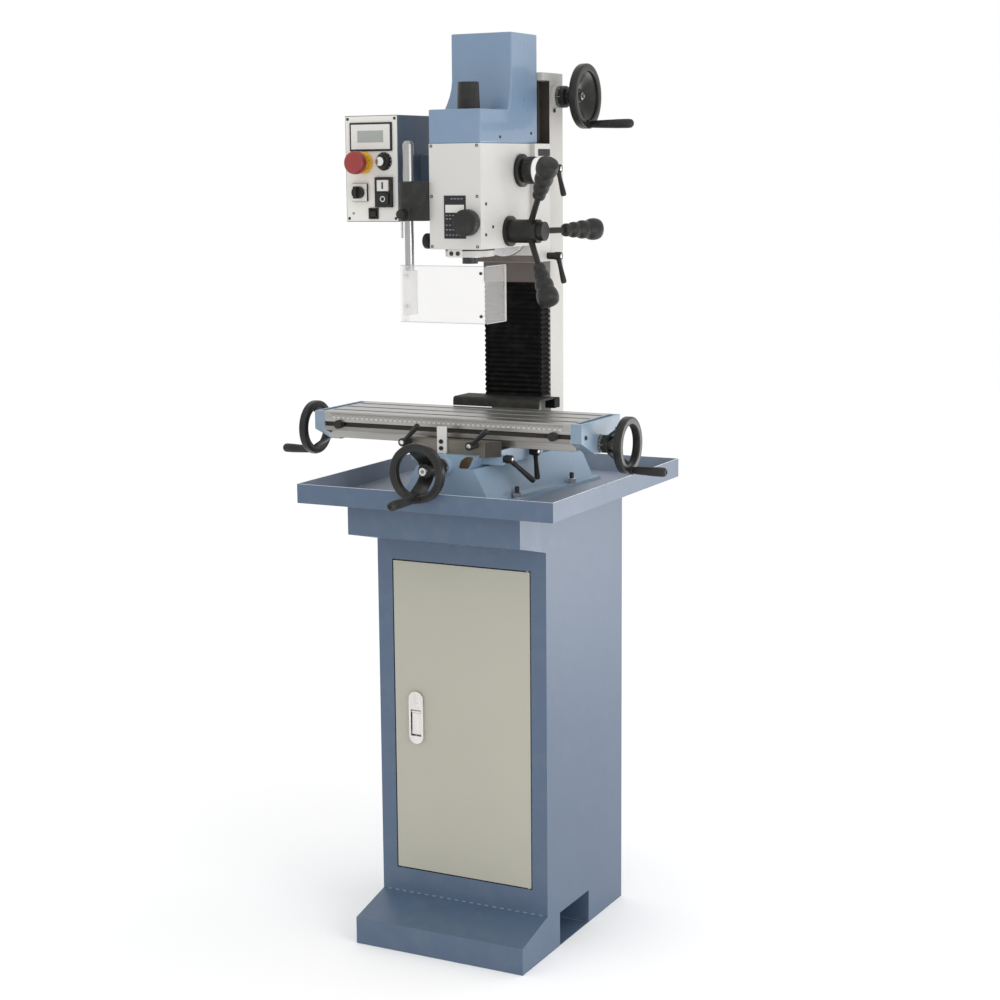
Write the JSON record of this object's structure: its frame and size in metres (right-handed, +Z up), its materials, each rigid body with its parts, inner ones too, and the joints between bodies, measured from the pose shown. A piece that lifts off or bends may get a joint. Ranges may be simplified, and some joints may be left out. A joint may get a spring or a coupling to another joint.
{
  "type": "mill drill",
  "caption": "Floor-standing mill drill: cabinet stand with chip tray, slotted cross table with handwheels, dovetail column with bellows, geared head with quill feed and swing-away guard",
  "frame": {"origin": "on the floor under the middle of the stand's footprint", "axes": "+X along the table to the operator's right, +Y from the operator to the column, +Z up"},
  "size_m": [0.792, 0.6695, 1.6596],
  "materials": {
    "stand_blue": "semi-gloss enamel on sheet steel",
    "door_beige": "satin enamel on sheet steel",
    "latch_metal": "plated",
    "dark_steel": "blackened",
    "machine_blue": "enamel on cast iron",
    "machine_white": "enamel on cast iron",
    "black_rubber": "matt",
    "ground_iron": "ground",
    "bright_steel": "turned",
    "black_plastic": "satin",
    "wheel_black": "black enamel",
    "apron_brown": "oiled steel plate",
    "panel_dark": "printed plate",
    "cover_blue": "semi-gloss enamel on sheet steel",
    "box_blue": "semi-gloss enamel on sheet steel",
    "panel_white": "printed plate",
    "stop_red": "gloss",
    "button_white": "gloss",
    "shield_clear": "milky clear plastic sheet"
  },
  "bodies": {
    "frame": {"stand": "stand_blue", "chip_tray": "stand_blue", "hold_down_studs": "dark_steel", "base": "machine_blue", "column": "machine_white", "z_boss": "machine_white", "bellows": "black_rubber", "way_flap": "black_rubber"},
    "cabinet_door": {"door": "door_beige", "latch_plate": "latch_metal"},
    "latch": {"latch_paddle": "latch_metal"},
    "cross_slide": {"saddle": "ground_iron", "pointer_bracket": "bright_steel"},
    "x_clamp_left": {"x_lock_left": "black_plastic"},
    "x_clamp_right": {"x_lock_right": "black_plastic"},
    "y_clamp_front": {"y_lock_front": "black_plastic"},
    "y_clamp_rear": {"y_lock_rear": "black_plastic"},
    "work_table": {"table": "ground_iron", "table_ends": "machine_blue", "table_stops": "dark_steel"},
    "x_drive": {"x_screw": "bright_steel", "x_wheels": "wheel_black"},
    "x_handle_right": {"x_grip_right": "black_plastic"},
    "x_handle_left": {"x_grip_left": "black_plastic"},
    "y_drive": {"y_screw": "bright_steel", "y_wheel": "wheel_black"},
    "y_handle": {"y_grip": "black_plastic"},
    "z_drive": {"z_wheel": "wheel_black"},
    "z_handle": {"z_grip": "black_plastic"},
    "column_screw": {"z_screw": "bright_steel"},
    "mill_head": {"z_slide": "machine_white", "bellows_apron": "apron_brown", "head": "machine_white", "head_front": "machine_white", "gear_panel": "panel_dark", "belt_cover": "cover_blue", "motor": "dark_steel", "drawbar_cap": "black_plastic", "spring_housing": "black_plastic", "control_box": "box_blue", "control_panel": "panel_white", "switch_frames": "black_plastic", "guard_clamp": "black_plastic"},
    "z_clamp_upper": {"z_lock_upper": "black_plastic"},
    "z_clamp_lower": {"z_lock_lower": "black_plastic"},
    "gear_selector": {"gear_knob": "black_plastic"},
    "quill_sleeve": {"quill": "bright_steel"},
    "tool_spindle": {"spindle": "bright_steel"},
    "feed_lever": {"feed_hub": "wheel_black", "feed_grips": "black_plastic"},
    "fine_feed": {"fine_knob": "black_plastic"},
    "emergency_stop": {"estop": "stop_red"},
    "speed_dial": {"speed_knob": "black_plastic"},
    "direction_switch": {"direction_knob": "black_plastic"},
    "start": {"start_button": "button_white"},
    "stop": {"stop_button": "black_plastic"},
    "power_rocker": {"rocker": "black_plastic"},
    "guard_screw": {"guard_knob": "black_plastic"},
    "guard": {"guard_rod": "bright_steel", "guard_shield": "shield_clear"}
  },
  "joints": [
    {"name": "door_swing", "type": "hinge", "parent": "frame", "child": "cabinet_door", "pos_m": [0.1335, -0.112, 0.417], "axis": [0, 0, 1], "range_deg": [0, 110]},
    {"name": "latch_lift", "type": "hinge", "parent": "cabinet_door", "child": "latch", "pos_m": [-0.0935, -0.1185, 0.4285], "axis": [-1, 0, 0], "range_deg": [0, 40]},
    {"name": "y_feed", "type": "slide", "parent": "frame", "child": "cross_slide", "axis": [0, 1, 0], "range_m": [-0.08, 0.06]},
    {"name": "x_clamp_left_turn", "type": "hinge", "parent": "cross_slide", "child": "x_clamp_left", "pos_m": [-0.083, -0.15, 0.9406], "axis": [0, -1, 0], "range_deg": [-30, 30]},
    {"name": "x_clamp_right_turn", "type": "hinge", "parent": "cross_slide", "child": "x_clamp_right", "pos_m": [0.052, -0.15, 0.9406], "axis": [0, -1, 0], "range_deg": [-30, 30]},
    {"name": "y_clamp_front_turn", "type": "hinge", "parent": "cross_slide", "child": "y_clamp_front", "pos_m": [0.092, -0.118, 0.913], "axis": [1, 0, 0], "range_deg": [-10, 35]},
    {"name": "y_clamp_rear_turn", "type": "hinge", "parent": "cross_slide", "child": "y_clamp_rear", "pos_m": [0.092, -0.012, 0.913], "axis": [1, 0, 0], "range_deg": [-35, 10]},
    {"name": "x_feed", "type": "slide", "parent": "cross_slide", "child": "work_table", "axis": [1, 0, 0], "range_m": [-0.083, 0.137]},
    {"name": "x_screw_turn", "type": "hinge", "parent": "work_table", "child": "x_drive", "pos_m": [0, -0.0395, 0.93905], "axis": [1, 0, 0], "range_deg": [-14940, 24660]},
    {"name": "x_grip_right_spin", "type": "hinge", "parent": "x_drive", "child": "x_handle_right", "pos_m": [0.35, -0.0395, 0.89505], "axis": [1, 0, 0], "continuous": true},
    {"name": "x_grip_left_spin", "type": "hinge", "parent": "x_drive", "child": "x_handle_left", "pos_m": [-0.39, -0.0395, 0.89505], "axis": [1, 0, 0], "continuous": true},
    {"name": "y_screw_turn", "type": "hinge", "parent": "frame", "child": "y_drive", "pos_m": [0, -0.27, 0.903], "axis": [0, 1, 0], "range_deg": [-14400, 10800]},
    {"name": "y_grip_spin", "type": "hinge", "parent": "y_drive", "child": "y_handle", "pos_m": [0, -0.32, 0.859], "axis": [0, 1, 0], "continuous": true},
    {"name": "z_feed", "type": "slide", "parent": "frame", "child": "mill_head", "axis": [0, 0, 1], "range_m": [-0.15, 0.06], "deforming": ["bellows"]},
    {"name": "z_wheel_turn", "type": "hinge", "parent": "frame", "child": "z_drive", "pos_m": [0.118, 0.172, 1.55], "axis": [1, 0, 0], "range_deg": [-5400, 13500]},
    {"name": "z_grip_spin", "type": "hinge", "parent": "z_drive", "child": "z_handle", "pos_m": [0.17, 0.172, 1.499], "axis": [1, 0, 0], "continuous": true},
    {"name": "z_screw_turn", "type": "hinge", "parent": "frame", "child": "column_screw", "pos_m": [0, 0.166, 1.3], "axis": [0, 0, 1], "range_deg": [-13500, 5400]},
    {"name": "z_clamp_upper_turn", "type": "hinge", "parent": "mill_head", "child": "z_clamp_upper", "pos_m": [0.06, 0.132, 1.4196], "axis": [1, 0, 0], "range_deg": [-45, 45]},
    {"name": "z_clamp_lower_turn", "type": "hinge", "parent": "mill_head", "child": "z_clamp_lower", "pos_m": [0.06, 0.132, 1.2596], "axis": [1, 0, 0], "range_deg": [-45, 45]},
    {"name": "gear_select", "type": "hinge", "parent": "mill_head", "child": "gear_selector", "pos_m": [0.0275, -0.12, 1.3276], "axis": [0, -1, 0], "range_deg": [0, 90]},
    {"name": "quill_feed", "type": "slide", "parent": "mill_head", "child": "quill_sleeve", "axis": [0, 0, -1], "range_m": [0, 0.05], "stiffness_N_per_m": 300, "springref_m": -0.25},
    {"name": "spindle_spin", "type": "hinge", "parent": "quill_sleeve", "child": "tool_spindle", "pos_m": [0, -0.065, 1.3], "axis": [0, 0, -1], "continuous": true},
    {"name": "feed_turn", "type": "hinge", "parent": "mill_head", "child": "feed_lever", "pos_m": [0.06, -0.011, 1.3096], "axis": [1, 0, 0], "range_deg": [0, 160]},
    {"name": "fine_feed_turn", "type": "hinge", "parent": "mill_head", "child": "fine_feed", "pos_m": [0.06, 0.037, 1.4166], "axis": [1, 0, 0], "continuous": true},
    {"name": "estop_push", "type": "slide", "parent": "mill_head", "child": "emergency_stop", "axis": [0, 1, 0], "range_m": [0, 0.005]},
    {"name": "speed_turn", "type": "hinge", "parent": "mill_head", "child": "speed_dial", "pos_m": [-0.1655, -0.08, 1.4356], "axis": [0, -1, 0], "range_deg": [-135, 135]},
    {"name": "direction_turn", "type": "hinge", "parent": "mill_head", "child": "direction_switch", "pos_m": [-0.2155, -0.08, 1.3806], "axis": [0, -1, 0], "range_deg": [-45, 45]},
    {"name": "start_push", "type": "slide", "parent": "mill_head", "child": "start", "axis": [0, 1, 0], "range_m": [0, 0.003], "stiffness_N_per_m": 300},
    {"name": "stop_push", "type": "slide", "parent": "mill_head", "child": "stop", "axis": [0, 1, 0], "range_m": [0, 0.003], "stiffness_N_per_m": 300},
    {"name": "rocker_tip", "type": "hinge", "parent": "mill_head", "child": "power_rocker", "pos_m": [-0.1885, -0.08, 1.3426], "axis": [1, 0, 0], "range_deg": [0, 20]},
    {"name": "guard_screw_turn", "type": "hinge", "parent": "mill_head", "child": "guard_screw", "pos_m": [-0.093, -0.138, 1.3426], "axis": [0, -1, 0], "range_deg": [-180, 180]},
    {"name": "guard_swing", "type": "hinge", "parent": "mill_head", "child": "guard", "pos_m": [-0.093, -0.12, 1.3], "axis": [0, 0, -1], "range_deg": [0, 110]}
  ],
  "couplings": [
    {"joint": "x_screw_turn", "follows": "x_feed", "rad_per_m": 3141.6},
    {"joint": "y_screw_turn", "follows": "y_feed", "rad_per_m": 3141.6},
    {"joint": "z_wheel_turn", "follows": "z_feed", "rad_per_m": -1570.8},
    {"joint": "z_screw_turn", "follows": "z_feed", "rad_per_m": 1570.8},
    {"joint": "feed_turn", "follows": "quill_feed", "rad_per_m": 55.556}
  ]
}
